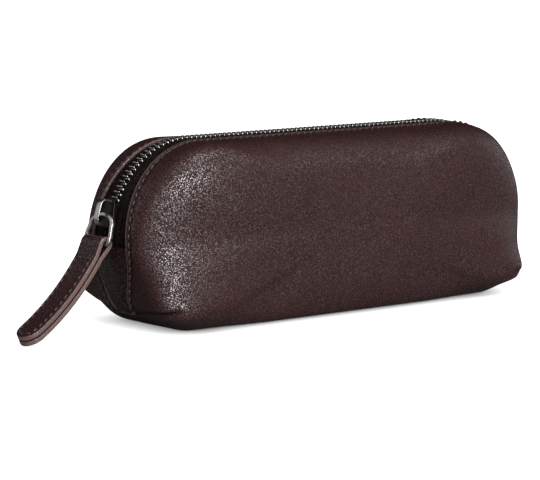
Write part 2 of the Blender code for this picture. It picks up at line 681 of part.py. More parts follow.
def make_pull_loop(parent):
    """Wire loop that swings on the bridge."""
    route = loop_route()
    before, after = np.roll(route, 1, axis=0), np.roll(route, -1, axis=0)
    along = after - before
    along /= np.linalg.norm(along, axis=1)[:, None]
    rings = []
    for (y, z), (along_y, along_z) in zip(route, along):
        ring = []
        for turn in np.linspace(0, 2 * pi, WIRE_SIDES, endpoint=False):
            beside, out = WIRE / 2 * cos(turn), WIRE / 2 * sin(turn)
            ring.append((out, y - along_z * beside, z + along_y * beside))
        rings.append(ring)
    loop = loft("pull_loop", rings, finish("pull_gunmetal", (0.24, 0.23, 0.225), 0.18, 1.0), closed=True)
    carried(loop, parent, SLIDER_FRAME, LOOP_FRAME)
    return loop


def strap_place(along, beside):
    """Points (x, z) in the strap's frame, beside its middle line, which bends as it goes down."""
    bend = (STRAP_LEAN_TIP - STRAP_LEAN_TOP) / STRAP_LENGTH
    lean = STRAP_LEAN_TOP + bend * along
    x = (np.cos(lean) - cos(STRAP_LEAN_TOP)) / bend - beside * np.cos(lean)
    z = (sin(STRAP_LEAN_TOP) - np.sin(lean)) / bend + beside * np.sin(lean)
    return np.stack([x, z], axis=1)


def make_pull_strap(parent):
    """Leather strip folded over the pull bar, its two plies stitched together, with a round tip."""
    half_width = STRAP_WIDTH / 2
    eye = WIRE / 2 + CLEARANCE + PLY / 2
    ply = (PLY + PLY_GAP) / 2
    leave = asin(eye / hypot(STRAP_JOIN, ply)) - atan2(ply, STRAP_JOIN)
    tip = np.linspace(STRAP_TIP_TURN, 0, STRAP_TIP_STEPS + 1)
    tip_along = STRAP_LENGTH - half_width + half_width * np.sin(tip)
    run_along = np.linspace(STRAP_LENGTH - half_width, STRAP_JOIN, STRAP_RUN_STEPS + 1)[1:]
    down = np.concatenate([tip_along, run_along])
    widths = np.concatenate([half_width * np.cos(tip), run_along * 0 + half_width])
    turns = np.linspace(leave, -pi - leave, STRAP_EYE_STEPS + 1)
    along = np.concatenate([down, eye * np.sin(turns), down[::-1]])
    beside = np.concatenate([down * 0 + ply, eye * np.cos(turns), down * 0 - ply])
    widths = np.concatenate([widths, turns * 0 + half_width, widths[::-1]])
    route = strap_place(along, beside)
    steps = np.diff(route, axis=0)
    steps /= np.linalg.norm(steps, axis=1)[:, None]
    facing = np.concatenate([steps[:1], steps[:-1] + steps[1:], steps[-1:]])
    facing /= np.linalg.norm(facing, axis=1)[:, None]
    drift = -STRAP_SIDE * np.clip(along / STRAP_LENGTH, 0, 1) ** STRAP_SIDE_POWER
    rings = []
    for (x, z), (way_x, way_z), width, y in zip(route, facing, widths, drift):
        rings.append([(x - way_z * face * PLY / 2, y + hand * width, z + way_x * face * PLY / 2)
                      for face, hand in ((1, 1), (1, -1), (-1, -1), (-1, 1))])
    strap = loft("pull_strap", rings, finish("strap_leather", (0.055, 0.027, 0.026), 0.45))
    carried(strap, parent, LOOP_FRAME, STRAP_FRAME)
    return strap


def make_slider_and_pull():
    """The slider on its axis, then what hangs from it."""
    axis = bpy.data.objects.new("slider_travel_axis", None)
    bpy.context.scene.collection.objects.link(axis)
    axis.matrix_basis = SLIDER_TRAVEL
    body = make_slider_body(axis)
    make_slider_bridge(axis)
    loop = make_pull_loop(body)
    make_pull_strap(loop)


make_body_leather()
make_body_lining()
make_tape("front_tape", -1)
make_tape("rear_tape", 1)
make_end_tab("near_end_tab", far=False)
make_end_tab("far_end_tab", far=True)
make_teeth("front_teeth", -1, 0)
make_teeth("rear_teeth", 1, PITCH / 2)
make_stops()
make_slider_and_pull()
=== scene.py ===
from math import asin, atan2, cos, hypot, pi, radians, sin, sqrt
import bmesh
import bpy
import numpy as np
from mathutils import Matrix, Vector


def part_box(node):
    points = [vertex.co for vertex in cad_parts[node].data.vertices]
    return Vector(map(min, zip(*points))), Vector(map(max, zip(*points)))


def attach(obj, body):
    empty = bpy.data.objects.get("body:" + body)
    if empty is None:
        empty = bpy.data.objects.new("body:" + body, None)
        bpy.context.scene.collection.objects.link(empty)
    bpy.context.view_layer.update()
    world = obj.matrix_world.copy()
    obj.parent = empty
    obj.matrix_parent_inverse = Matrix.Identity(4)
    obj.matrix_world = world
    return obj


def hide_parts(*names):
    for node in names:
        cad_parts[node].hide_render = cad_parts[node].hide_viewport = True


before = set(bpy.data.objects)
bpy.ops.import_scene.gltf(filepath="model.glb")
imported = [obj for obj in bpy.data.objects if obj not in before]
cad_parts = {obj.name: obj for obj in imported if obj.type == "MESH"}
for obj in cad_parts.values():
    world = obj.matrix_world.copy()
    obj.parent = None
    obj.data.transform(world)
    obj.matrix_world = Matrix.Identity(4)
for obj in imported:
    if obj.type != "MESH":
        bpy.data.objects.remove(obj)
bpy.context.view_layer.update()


# Leather body. One piece of dark brown, fine-grained cowhide wraps from the front edge under the base
# to the rear edge. Four darts, sewn from the inside, box its lower corners, and both edges along the
# zip are rounded and stitched down on the tapes.

LENGTH = 0.200
HEIGHT = float(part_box("body_leather")[1][2])
DEPTH = 0.058
LEATHER = 0.0015
END_RADIUS = 0.54 * HEIGHT       # round of each end, seen from the front
END_CENTRE = 0.47 * HEIGHT       # height of its centre
KEEL_RADIUS = 0.25 * HEIGHT
BELLY = 0.50 * HEIGHT            # height at which front and rear are fullest
SHOULDER = radians(57.5)         # where the end's round gives way to the shoulder's
ZIP_END = radians(-45.5)         # where the zip stops on the end's round
MOUTH_TOP = 0.0148
MOUTH_WIDEST = 0.0210
MOUTH_LOW = 0.0096
MARGIN = 0.0030                  # leather that lies flat on the tape
BASE_FLAT = 0.016                # half width of the flat base
FULLNESS_X = 0.040               # place from which the section's changes are counted as directions
STITCH_INSET = 0.0024            # seam line, from the leather edge
CORNERS = {-1: (0.0071, 0.0066, 0.0032),   # push, height and drop of the front corners
           1: (0.0055, 0.0136, 0.0050)}    # and of the rear ones
CORNER_RISE = 0.0090
END_PUSH = 0.0032                # between two corners
END_HEIGHT = 0.0071
END_RISE = 0.0086
END_DROP = 0.0045
PUSH_ANGLE = radians(30)
CORNER_FADE = (0.35, 0.55)       # start and width of the corners' push, as a share of the half depth
CORNER_FADE_X = (0.35, 0.45)     # and of the half length
END_FADE_X = (0.60, 0.25)        # the same for the push between two corners
ROLL = {-1: 0.0017, 1: 0.0023}   # how far each half rolls down from its edge, within ROLL_WAY
ROLL_WAY = 0.0022
ROLL_FADE = (0.008, 0.020)       # start and width of its fade across
ROLL_FADE_X = (0.050, 0.030)     # and along the pouch, towards the far end
ROLL_FADE_END = 0.030            # and towards the zip's ends
SHORT_WAVE = 0.00030             # heights of the slow waves
LONG_WAVE = 0.00035
SEAM_DEPTH = 0.00025
SEAM_WIDTH = 0.00045
HOLLOW = 0.0014                  # dent of the flap over each dart, at HOLLOW_AT and HOLLOW_SIZE wide
HOLLOW_AT = (0.099, 0.0185, 0.017)
HOLLOW_SIZE = (0.012, 0.0085, 0.013)
DEEPEST = 0.0012                 # of all dents together
DART_DEPTH = 0.0008
DART_WIDTH = 0.0008
DART_STEP = 0.0006               # how far the underside sets in at the dart
DART_FADE = 0.005                # how far under the dart it does
DART_RISE = 0.0024               # of the dart's bow, over the zip's end
DART_BOW = 0.75 * pi             # part of a sine that the bow shows
DART_TURN = 0.90                 # of the way to the fullest point, as rows_across counts it
ROUND_POINTS = 40                # points on each round of the outline

END_X = LENGTH / 2 - END_RADIUS
SHOULDER_RADIUS = (HEIGHT - END_CENTRE - END_RADIUS * sin(SHOULDER)) / (1 - sin(SHOULDER))
SHOULDER_X = END_X + (END_RADIUS - SHOULDER_RADIUS) * cos(SHOULDER)
KEEL_X = END_X + sqrt((END_RADIUS - KEEL_RADIUS) ** 2 - (KEEL_RADIUS - END_CENTRE) ** 2)
KEEL_JOIN = atan2(KEEL_RADIUS - END_CENTRE, KEEL_X - END_X)


def smooth(share):
    """0 below 0 and 1 above 1, with 3s^2 - 2s^3 between."""
    share = np.clip(share, 0.0, 1.0)
    return share * share * (3.0 - 2.0 * share)


def eased(place, keys, values):
    """Values at the keys, each joined to the next by an S curve."""
    index = np.clip(np.searchsorted(keys, place) - 1, 0, len(keys) - 2)
    keys, values = np.asarray(keys, float), np.asarray(values, float)
    share = smooth((place - keys[index]) / (keys[index + 1] - keys[index]))
    return values[index] + (values[index + 1] - values[index]) * share


def rounded(centre_x, centre_z, radius, start, end):
    """Points and outward normals (x, z, x, z) on a round: centre plus radius times (cos a, sin a)."""
    turn = np.linspace(start, end, ROUND_POINTS)
    out = np.stack([np.cos(turn), np.sin(turn)], axis=1)
    return np.concatenate([np.array([centre_x, centre_z]) + radius * out, out], axis=1)


FAR_HALF = np.concatenate([
    [[0, HEIGHT, 0, 1]],
    rounded(SHOULDER_X, HEIGHT - SHOULDER_RADIUS, SHOULDER_RADIUS, pi / 2, SHOULDER),
    rounded(END_X, END_CENTRE, END_RADIUS, SHOULDER, ZIP_END),
    rounded(END_X, END_CENTRE, END_RADIUS, ZIP_END, KEEL_JOIN)[1:],
    rounded(KEEL_X, KEEL_RADIUS, KEEL_RADIUS, KEEL_JOIN, -pi / 2)[1:],
    [[0, 0, 0, -1]]])
HALF_RUN = np.concatenate([[0], np.cumsum(np.linalg.norm(np.diff(FAR_HALF[:, :2], axis=0), axis=1))])
ZIP_RUN = float(HALF_RUN[2 * ROUND_POINTS])    # from the middle of the top to the zip's end


def outline(run):
    """Points and normals of the D-shaped outline, run metres from the middle of the top.

    A run below 0 goes to the near end.
    """
    run = np.asarray(run, float)
    half = np.stack([np.interp(np.abs(run), HALF_RUN, FAR_HALF[:, i]) for i in range(4)], axis=-1)
    half[..., 2:] /= np.linalg.norm(half[..., 2:], axis=-1, keepdims=True)
    half[..., 0::2] *= np.where(run < 0, -1.0, 1.0)[..., None]
    return half


def section(run):
    """Powers out and across, and half widths of mouth and flat strip, at each place on the outline.

    The powers' keys are directions: -1 straight down, 0 at the end and 1 straight up.
    """
    place = outline(run)
    x, z = np.abs(place[..., 0]), place[..., 1]
    direction = np.arctan2(z - END_CENTRE, x - FULLNESS_X) / (pi / 2)
    keys = (-1.0, -0.51, -0.29, 0.0, 0.48, 1.0)
    out = eased(direction, keys, (3.5, 3.2, 7.0, 2.5, 6.0, 4.2))
    across = eased(direction, keys, (4.0, 2.2, 4.4, 2.3, 2.6, 2.1))
    zip_end = END_CENTRE + END_RADIUS * sin(ZIP_END)
    mouth = eased(z, (zip_end, 0.42 * HEIGHT, HEIGHT), (MOUTH_LOW, MOUTH_WIDEST, MOUTH_TOP)) / 2
    below = np.clip((zip_end - z) / zip_end, 0, 1)
    return out, across, mouth, mouth + MARGIN + (BASE_FLAT - MOUTH_LOW / 2 - MARGIN) * below


def bell(z, height, rise, drop):
    """e^-((z - height) / fade)^2, whose fade is rise above the height and drop below it."""
    return np.exp(-((z - height) / np.where(z > height, rise, drop)) ** 2)


def pouch(run, across, inset=0.0, side=1, push_share=1.0):
    """One half of the pouch's skin, set in by inset: the rear half for side 1, the front half for -1.

    From the outline to the fullest point, share^across + reach^out = 1: share is the way across
    from the flat strip, and reach draws the outline in towards the belly line. Beside the zip the
    skin rolls down as 1 - e^-way. Then bell curves push the lower corners out, and the ends between.
    """
    out, power, mouth, flat = section(run)
    place = outline(run)
    rolled = 1 - np.exp(-np.clip(across - mouth, 0, None) / ROLL_WAY)
    rolled = rolled * (1 - smooth((across - ROLL_FADE[0]) / ROLL_FADE[1]))
    rolled = rolled * (1 - smooth((place[..., 0] - ROLL_FADE_X[0]) / ROLL_FADE_X[1]))
    inset = inset + ROLL[side] * rolled * smooth((ZIP_RUN - np.abs(run)) / ROLL_FADE_END)
    share = np.clip((across - flat) / (DEPTH / 2 - flat), 0, 1)
    reach = (1 - share ** power) ** (1 / out)
    x = (place[..., 0] - inset * place[..., 2]) * reach
    z = BELLY + (place[..., 1] - inset * place[..., 3] - BELLY) * reach
    y = np.minimum(across, flat) + (DEPTH / 2 - inset - flat) * share
    push, height, drop = CORNERS[side]
    cornered = smooth((y / (DEPTH / 2) - CORNER_FADE[0]) / CORNER_FADE[1])
    away = np.abs(x) / (LENGTH / 2)
    push = push_share * push * bell(z, height, CORNER_RISE, drop)
    push = push * cornered * smooth((away - CORNER_FADE_X[0]) / CORNER_FADE_X[1])
    end = push_share * END_PUSH * bell(z, END_HEIGHT, END_RISE, END_DROP)
    end = end * (1 - cornered) * smooth((away - END_FADE_X[0]) / END_FADE_X[1])
    x = x + np.sign(x) * (push * cos(PUSH_ANGLE) + end)
    return np.stack([x, side * (y + push * sin(PUSH_ANGLE)), z], axis=-1)


def normals(points):
    """Unit normals of a grid that closes on itself along its rows: cross product of its two steps."""
    wrapped = np.concatenate([points[:, -2:-1], points, points[:, 1:2]], axis=1)
    normal = np.cross(np.gradient(wrapped, axis=0), np.gradient(wrapped, axis=1))[:, 1:-1]
    return normal / np.maximum(np.linalg.norm(normal, axis=-1, keepdims=True), 1e-12)


def ease_ends(count):
    """Shares from 0 to 1 that crowd towards both ends: t - 0.85 sin(2 pi t) / (2 pi)."""
    t = np.linspace(0, 1, count)
    return t - 0.85 * np.sin(2 * pi * t) / (2 * pi)


def add_mesh(name, grids, uv_grids=(), **shares):
    """One mesh from grids of points, joined where their points meet, with the uv grids as its map.

    Each named list of shares, from 0 to 1 for the points of each grid, becomes an attribute.
    """
    points, quads, first = [], [], 0
    for grid in grids:
        rows, columns = grid.shape[:2]
        index = first + np.arange(rows * columns).reshape(rows, columns)
        corners = index[:-1, :-1], index[:-1, 1:], index[1:, 1:], index[1:, :-1]
        quads.append(np.stack(corners, axis=-1).reshape(-1, 4))
        points.append(grid.reshape(-1, 3))
        first += rows * columns
    points, quads = np.concatenate(points), np.concatenate(quads)
    mesh = bpy.data.meshes.new(name)
    mesh.from_pydata(points.tolist(), [], quads.tolist())
    if uv_grids:
        uvs = np.concatenate([grid.reshape(-1, 2) for grid in uv_grids])[quads.ravel()]
        mesh.uv_layers.new(name="run").data.foreach_set("uv", uvs.astype(np.float32).ravel())
    for key, values in shares.items():
        flat = [np.broadcast_to(value, grid.shape[:2]).ravel() for value, grid in zip(values, grids)]
        attribute = mesh.attributes.new(key, "FLOAT", "POINT")
        attribute.data.foreach_set("value", np.concatenate(flat).astype(np.float32))
    shape = bmesh.new()
    shape.from_mesh(mesh)
    bmesh.ops.remove_doubles(shape, verts=shape.verts, dist=1e-6)
    bmesh.ops.recalc_face_normals(shape, faces=shape.faces)
    shape.to_mesh(mesh)
    shape.free()
    mesh.shade_smooth()
    obj = bpy.data.objects.new(name, mesh)
    bpy.context.scene.collection.objects.link(obj)
    return obj


class Shade:
    """A shader socket on which sums are written as Python: each operator adds a Math node."""

    def __init__(self, finish, socket):
        self.finish, self.socket = finish, socket

    def math(self, operation, first, second):
        return self.finish.node("ShaderNodeMath", {"operation": operation}, {0: first, 1: second})

    def __add__(self, other):
        return self.math("ADD", self, other)

    def __sub__(self, other):
        return self.math("SUBTRACT", self, other)

    def __rsub__(self, other):
        return self.math("SUBTRACT", other, self)

    def __mul__(self, other):
        return self.math("MULTIPLY", self, other)

    __radd__ = __add__
    __rmul__ = __mul__


class Finish:
    """A Principled material with object coordinates. Every other node of it comes from node()."""

    def __init__(self, name, values):
        self.material = bpy.data.materials.new(name)
        self.material.use_nodes = True
        self.tree = self.material.node_tree
        self.shader = self.tree.nodes["Principled BSDF"]
        self.place = self.node("ShaderNodeTexCoord", {}, {}, "Object")
        self.set(self.shader, values)

    def set(self, node, values):
        for key, value in values.items():
            if isinstance(value, Shade):
                self.tree.links.new(value.socket, node.inputs[key])
            else:
                node.inputs[key].default_value = value

    def node(self, kind, settings, values, output=0):
        node = self.tree.nodes.new(kind)
        for key, value in settings.items():
            setattr(node, key, value)
        self.set(node, values)
        return Shade(self, node.outputs[output])

    def noise(self, size, detail):
        """Noise from 0 to 1 whose spots are size metres apart."""
        return self.node("ShaderNodeTexNoise", {},
                         {"Vector": self.place, "Scale": 1 / size, "Detail": detail})

    def ramp(self, value, start, end):
        """Smooth step from 0 where value is start to 1 where it is end."""
        return self.node("ShaderNodeMapRange", {"interpolation_type": "SMOOTHSTEP"},
                         {"Value": value, "From Min": start, "From Max": end})

    def cells(self, size):
        """Distance from the middle of cells that are size metres across."""
        return self.node("ShaderNodeTexVoronoi", {}, {"Vector": self.place, "Scale": 1 / size}, "Distance")

    def mix(self, share, first, second):
        """Colour from first to second."""
        return self.node("ShaderNodeMix", {"data_type": "RGBA"}, {0: share, 6: first, 7: second}, 2)

    def bump(self, height, distance):
        """Normal of a surface that rises by distance, in metres, where height is 1."""
        return self.node("ShaderNodeBump", {}, {"Height": height, "Distance": distance}, "Normal")


PEBBLE = 0.0007
CREASE = 0.00036
GRAIN = 0.00026                  # depth of the grain
CUT_EDGE_HIGHLIGHT_FADE = 0.0003                # over which an edge's lighter colour, partly raw leather and partly a painted highlight, fades out
# Painted shade: near black laid into the seam's groove, the darts' creases and the hollows over them.
PAINTED_SHADE_COLOR = (0.006, 0.003, 0.003, 1)


def leather(name, light, dark, raw_and_highlight, relief=1.0):
    """Pebbled grain: cells with finer creases, darker between the pebbles and polished on their tops.

    Its attributes paint shade into its creases and hollows, where the coat is dulled too, and lighten its
    edges: partly their own colour, partly a painted highlight.
    """
    finish = Finish(name, {"Specular IOR Level": 0.16, "Coat Roughness": 0.38, "Coat IOR": 2.3})
    slow = finish.noise(0.020, 3.0)
    patch = finish.noise(0.0040, 2.0)
    pebble = finish.cells(PEBBLE)
    fine = finish.noise(CREASE, 2.0)
    fold = finish.node("ShaderNodeAttribute", {"attribute_name": "fold"}, {}, "Fac")
    cut = finish.node("ShaderNodeAttribute", {"attribute_name": "cut"}, {}, "Fac")
    grain = finish.mix(pebble * 0.8 + patch * 0.3 + slow * 0.4 - 0.4, light, dark)
    # The edges' lighter colour: partly the leather's own raw colour, partly a painted highlight.
    edge = finish.mix(fine, raw_and_highlight, dark)
    finish.set(finish.shader, {
        # Painted shade takes the colour towards near black in the groove, on the darts and in the hollows.
        "Base Color": finish.mix(fold, finish.mix(cut, grain, edge), PAINTED_SHADE_COLOR),
        "Roughness": 0.32 + (slow - 0.5) * 0.14 + (fine - 0.5) * 0.30,
        "Coat Weight": finish.ramp(fine - pebble * 0.3, 0.42, 0.47) * (1 - fold * 2.5),
        "Normal": finish.bump((pebble * -0.9 + fine * 0.8) * (0.6 + patch * 0.8), GRAIN * relief)})
    return finish.material


def give(obj, material, body="pouch"):
    """Finish a piece and set it on the body that carries it."""
    obj.data.materials.append(material)
    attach(obj, body)
    return obj


def unit(vectors):
    """The vectors at length 1."""
    return vectors / np.linalg.norm(vectors, axis=-1, keepdims=True)


def rows_across(run, start, strip_rows, curve_rows):
    """Distances across: from start over the flat strip, then by a sine's equal turns to the fullest point."""
    _, power, _, flat = section(run)
    strip = start + (flat - start) * np.linspace(0, 1, strip_rows, endpoint=False)[:, None]
    turn = np.linspace(0, pi / 2, curve_rows)[:, None]
    return np.concatenate([strip, flat + (DEPTH / 2 - flat) * np.sin(turn) ** (2 / power)])


def dart_gap(points, side):
    """Distance to the nearer dart of a side, and that place's share of the way from mouth to tip."""
    share = np.linspace(0, 1, 160)[:, None]
    run = (ZIP_RUN - DART_RISE * np.sin(DART_BOW * share)) * np.array([[-1, 1]])
    _, power, mouth, flat = section(run)
    tip = flat + (DEPTH / 2 - flat) * sin(DART_TURN) ** (2 / power)
    line = pouch(run, mouth + (tip - mouth) * share, 0, side).reshape(-1, 3)
    gap = np.linalg.norm(points[..., None, :] - line, axis=-1)
    return gap.min(axis=-1), np.repeat(share[:, 0], 2)[gap.argmin(axis=-1)]


def relief(points, run, across, side):
    """How far the skin stands out of its plain form, and how much shade is painted into it.

    Slow waves are sums of sines. The dents are the seam's groove, a bell-shaped hollow over each dart,
    and the dart itself, as e^-distance, under which the skin sets in. Together they go no deeper than
    DEEPEST, by a hyperbolic tangent. Shade is painted along the groove, on the dart and in the hollow.
    """
    _, _, mouth, flat = section(run)
    x, z = points[..., 0], points[..., 2]
    wave = SHORT_WAVE * np.sin(x / 0.0135 + 2.1 * np.sin(z / 0.021)) * np.sin(z / 0.0115 + 0.7)
    wave += LONG_WAVE * np.sin(x / 0.031 - z / 0.017 + 1.3)
    seam = np.exp(-((across - mouth - STITCH_INSET) / SEAM_WIDTH) ** 2)
    seam = seam * smooth((ZIP_RUN - np.abs(run)) / 0.004)
    gap, along = dart_gap(points, side)
    fade = 1 - smooth((along - 0.70) / 0.30)
    below = np.abs(run) - ZIP_RUN + DART_RISE * np.sin(DART_BOW * along)
    under = smooth((below + DART_WIDTH / 2) / DART_WIDTH)
    groove = DART_DEPTH * np.exp(-gap / DART_WIDTH) * fade * smooth(along / 0.06)
    groove += DART_STEP * under * np.exp(-gap / DART_FADE) * fade
    away = (np.abs(points) - HOLLOW_AT) / HOLLOW_SIZE
    hollow = np.exp(-np.sum(away ** 2, axis=-1))
    depth = DEEPEST * np.tanh((SEAM_DEPTH * seam + groove + HOLLOW * hollow) / DEEPEST)
    height = wave * smooth((across - flat) / 0.006) * smooth(z / 0.008) - depth
    # Painted shade: how dark the seam's groove, the dart's crease and the hollow over it are painted.
    dart = np.exp(-(gap / DART_WIDTH) ** 2) * (1 - smooth((along - 0.9) / 0.1))
    return height, np.clip(0.65 * seam + 1.2 * dart + 0.24 * hollow, 0, 1)


ZIP_COLUMNS = 221
BASE_COLUMNS = 111
HALF_ROUND = float(HALF_RUN[-1])
ZIP_WAY = ZIP_RUN * (2 * ease_ends(ZIP_COLUMNS) - 1)[None, :]
BASE_WAY = ZIP_RUN + 2 * (HALF_ROUND - ZIP_RUN) * ease_ends(BASE_COLUMNS)[None, :]
BASE_WAY = np.where(BASE_WAY > HALF_ROUND, BASE_WAY - 2 * HALF_ROUND, BASE_WAY)
ROUND_WAY = np.concatenate([ZIP_WAY, BASE_WAY[:, 1:]], axis=1)


def make_half_body(side):
    """Grids of a half, each with its shares of painted shade and of the edges' colour, a painted highlight in
    part.

    They are both faces, the round lip along the zip, the strips down the keel and their two ends.
    """
    edge = section(ROUND_WAY)[2] + LEATHER / 2
    across = rows_across(ROUND_WAY, edge, strip_rows=14, curve_rows=72)
    outer = pouch(ROUND_WAY, across, 0, side)
    out = -side * normals(outer)
    out[-1] = (0, side, 0)    # the belly line, where the grid's rows meet
    height, fold = relief(outer, ROUND_WAY, across, side)
    outer = outer + out * height[..., None]
    inner = pouch(ROUND_WAY, rows_across(ROUND_WAY, edge, strip_rows=3, curve_rows=14), LEATHER, side)
    turn = np.linspace(0, pi, 9)[:, None, None]
    start, end = outer[0, :ZIP_COLUMNS], inner[0, :ZIP_COLUMNS]
    lip = (start + end) / 2 + np.cos(turn) * (start - end) / 2
    lip = lip + np.sin(turn) * np.array([0, -side * LEATHER / 2, 0])
    keel_across = edge[:, ZIP_COLUMNS - 1:] * np.linspace(1, 0, 6)[:, None]
    keel = [pouch(BASE_WAY, keel_across, inset, side) for inset in (0, LEATHER)]
    keel[0][0], keel[1][0] = outer[0, ZIP_COLUMNS - 1:], inner[0, ZIP_COLUMNS - 1:]
    flap_ends = [np.stack([keel[0][:, column], keel[1][:, column]]) for column in (0, -1)]
    # Share of the edges' lighter colour, partly a painted highlight, from the leather edge inwards.
    cut = np.exp(-(across - edge) / CUT_EDGE_HIGHLIGHT_FADE) * (np.arange(ROUND_WAY.shape[1]) < ZIP_COLUMNS)
    return [(outer, fold, cut), (inner, 0, 0), (lip, 0, 1), (keel[0], 0, 0), (keel[1], 0, 0),
            (flap_ends[0], 0, 1), (flap_ends[1], 0, 1)]


grids, folds, cuts = zip(*make_half_body(-1), *make_half_body(1))
DARK_BROWN = (0.038, 0.0138, 0.0144, 1), (0.017, 0.0064, 0.0067, 1)
# Its edges' colour is partly raw leather and partly a painted highlight.
HIDE = leather("dark_brown_hide", *DARK_BROWN, (0.170, 0.112, 0.103, 1))
body = give(add_mesh("body_skin", grids, fold=folds, cut=cuts), HIDE)
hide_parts("body_leather")


# Seams of the leather edges. Dark brown waxed thread, saddle-stitched 2.4 mm in from each edge,
# through leather and tape, with each stitch drawn down into the leather at its ends.

STITCH_PITCH = 0.0032
STITCH = 0.0026
THREAD = 0.00036                 # radius

thread = Finish("waxed_thread", {"Base Color": (0.040, 0.024, 0.022, 1), "Roughness": 0.34,
                                 "Specular IOR Level": 0.50})


def stitches(name, places, along, out):
    """Beads of thread at the places: a round rod of radius THREAD, bowed out as cos and thin at its ends."""
    t = np.linspace(-1, 1, 7)[:, None]
    turn = np.linspace(0, 2 * pi, 7)[None, :]
    radius = THREAD * np.maximum(1 - t ** 6, 0) ** 0.5
    length = t * STITCH / 2 + 0 * turn
    beside = radius * np.cos(turn) + 0 * t
    up = radius * np.sin(turn) + THREAD * (1.5 * np.cos(t * pi / 2) - 0.7)
    side = np.cross(out, along)
    beads = (places[:, None, None] + along[:, None, None] * length[..., None]
             + side[:, None, None] * beside[..., None] + out[:, None, None] * up[..., None])
    return add_mesh(name, list(beads))


def spaced(points, pitch):
    """Indexes, with fractions, of places a pitch apart on a line of points."""
    run = np.concatenate([[0], np.cumsum(np.linalg.norm(np.diff(points, axis=0), axis=1))])
    return np.interp(np.arange(pitch / 2, run[-1], pitch), run, np.arange(len(points)))


def pick(values, index):
    """Rows of values at indexes with fractions."""
    low = np.floor(index).astype(int)
    share = (index - low).reshape((-1,) + (1,) * (values.ndim - 1))
    return values[low] * (1 - share) + values[np.minimum(low + 1, len(values) - 1)] * share


def make_seam(name, line, out):
    """Stitches a pitch apart along a line of points whose outward directions are given."""
    index = spaced(line, STITCH_PITCH)
    along = unit(pick(np.gradient(line, axis=0), index))
    out = pick(out, index)
    out = unit(out - along * np.sum(out * along, axis=1, keepdims=True))
    return stitches(name, pick(line, index), along, out)


seam_run = np.linspace(-ZIP_RUN, ZIP_RUN, 900)[None]
seam_out = np.insert(outline(seam_run)[0, :, 2:], 1, 0, axis=1)
for side, name in ((-1, "edge_seam_front"), (1, "edge_seam_rear")):
    seam_line = pouch(seam_run, section(seam_run)[2] + STITCH_INSET, 0, side)[0]
    give(make_seam(name, seam_line, seam_out), thread.material)


# Lining. Brown cotton twill of the same cut as the leather, let in under the tapes. Its edge is sewn
# in with the leather edges and stops just short of the chain.

LINING = 0.0006
GAP = 0.0003                     # between pieces that lie on each other
TAPE = 0.0007
TAPE_OUTER = 0.0154
LINING_EDGE = 0.0012             # from the mouth to the lining's edge
LINING_PUSH = 0.4                # of the corners' push

lining_finish = Finish("lining_twill", {"Roughness": 0.9})
weave = lining_finish.node("ShaderNodeTexWave", {"bands_direction": "DIAGONAL"},
                           {"Vector": lining_finish.place, "Scale": 900.0, "Distortion": 0.4})
lining_finish.set(lining_finish.shader, {
    "Base Color": lining_finish.mix(weave, (0.050, 0.036, 0.030, 1), (0.075, 0.056, 0.048, 1)),
    "Normal": lining_finish.bump(weave, 0.00015)})


def thicken(obj, thickness, edge=0.0, segments=0):
    """Give a sheet its thickness, inwards, and round its edges where edge is more than 0."""
    cloth = obj.modifiers.new("cloth", "SOLIDIFY")
    cloth.thickness = thickness
    cloth.offset = -1
    if edge > 0:
        bevel = obj.modifiers.new("edge", "BEVEL")
        bevel.width = edge
        bevel.segments = segments
    return obj


def make_lining():
    """Inner skin of the pouch: its own form, set in under the leather, and deeper under the tapes."""
    edge = section(ROUND_WAY)[2] + LINING_EDGE
    across = rows_across(ROUND_WAY, edge, strip_rows=4, curve_rows=20)
    under = smooth((np.abs(outline(ROUND_WAY)[..., 1]) - 0.004) / 0.006)
    inset = LEATHER + GAP + (TAPE + GAP) * under * (1 - smooth((across / TAPE_OUTER - 1.18) / 0.27))
    halves = [pouch(ROUND_WAY, across, inset, side, LINING_PUSH) for side in (-1, 1)]
    front, rear = [half[0, ZIP_COLUMNS - 1:] for half in halves]
    share = np.linspace(0, 1, 5)[:, None, None]
    return thicken(add_mesh("lining_skin", halves + [front + (rear - front) * share]), LINING)


lining = give(make_lining(), lining_finish.material)
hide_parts("body_lining")


# Zip tapes. Two woven polyester tapes, herringbone, near black. Each carries a row of teeth on its
# inner edge, is sewn under a leather edge, and stands up to the chain between them.

TAPE_INNER = 0.0025
CROWN = 0.00125                  # how far the zip's middle stands out from under the leather
TAB_TOP = radians(-2)            # end tab's upper edge, on the end's round
RIB_WIDTH = 0.00062
RIB_HEIGHT = 0.00036
LEAN_WIDTH = 0.0012
FUZZ = 0.0006


def tape_depth(run, across):
    """Depth of the tape's face under the outline: under the leather, less an S curve up to the chain."""
    mouth = section(run)[2]
    place = outline(run)
    angle = np.arctan2(place[..., 1] - END_CENTRE, np.abs(place[..., 0]) - END_X)
    crown = smooth((angle - ZIP_END) / (TAB_TOP - ZIP_END))
    slope = smooth((across - TAPE_INNER) / (mouth - GAP - TAPE_INNER))
    return LEATHER + GAP - CROWN * crown * (1 - slope)


def woven(name, light, dark):
    """Herringbone weave on the piece's map: sine ribs along u that turn back at each LEAN_WIDTH of v."""
    finish = Finish(name, {"Roughness": 0.60, "Specular IOR Level": 0.08})
    uv = finish.node("ShaderNodeTexCoord", {}, {}, "UV")
    u = finish.node("ShaderNodeSeparateXYZ", {}, {0: uv}, "X")
    v = finish.node("ShaderNodeSeparateXYZ", {}, {0: uv}, "Y")
    lean = finish.node("ShaderNodeMath", {"operation": "PINGPONG"}, {0: v, 1: LEAN_WIDTH})
    rib = finish.node("ShaderNodeMath", {"operation": "SINE"}, {0: (u + lean) * (2 * pi / RIB_WIDTH)})
    fuzz = finish.noise(FUZZ, 2.0)
    height = rib * 0.25 + fuzz * 1.2
    finish.set(finish.shader, {
        "Base Color": finish.mix(finish.ramp(height, 0.78, 1.0), dark, light),
        "Normal": finish.bump(height, RIB_HEIGHT)})
    return finish.material


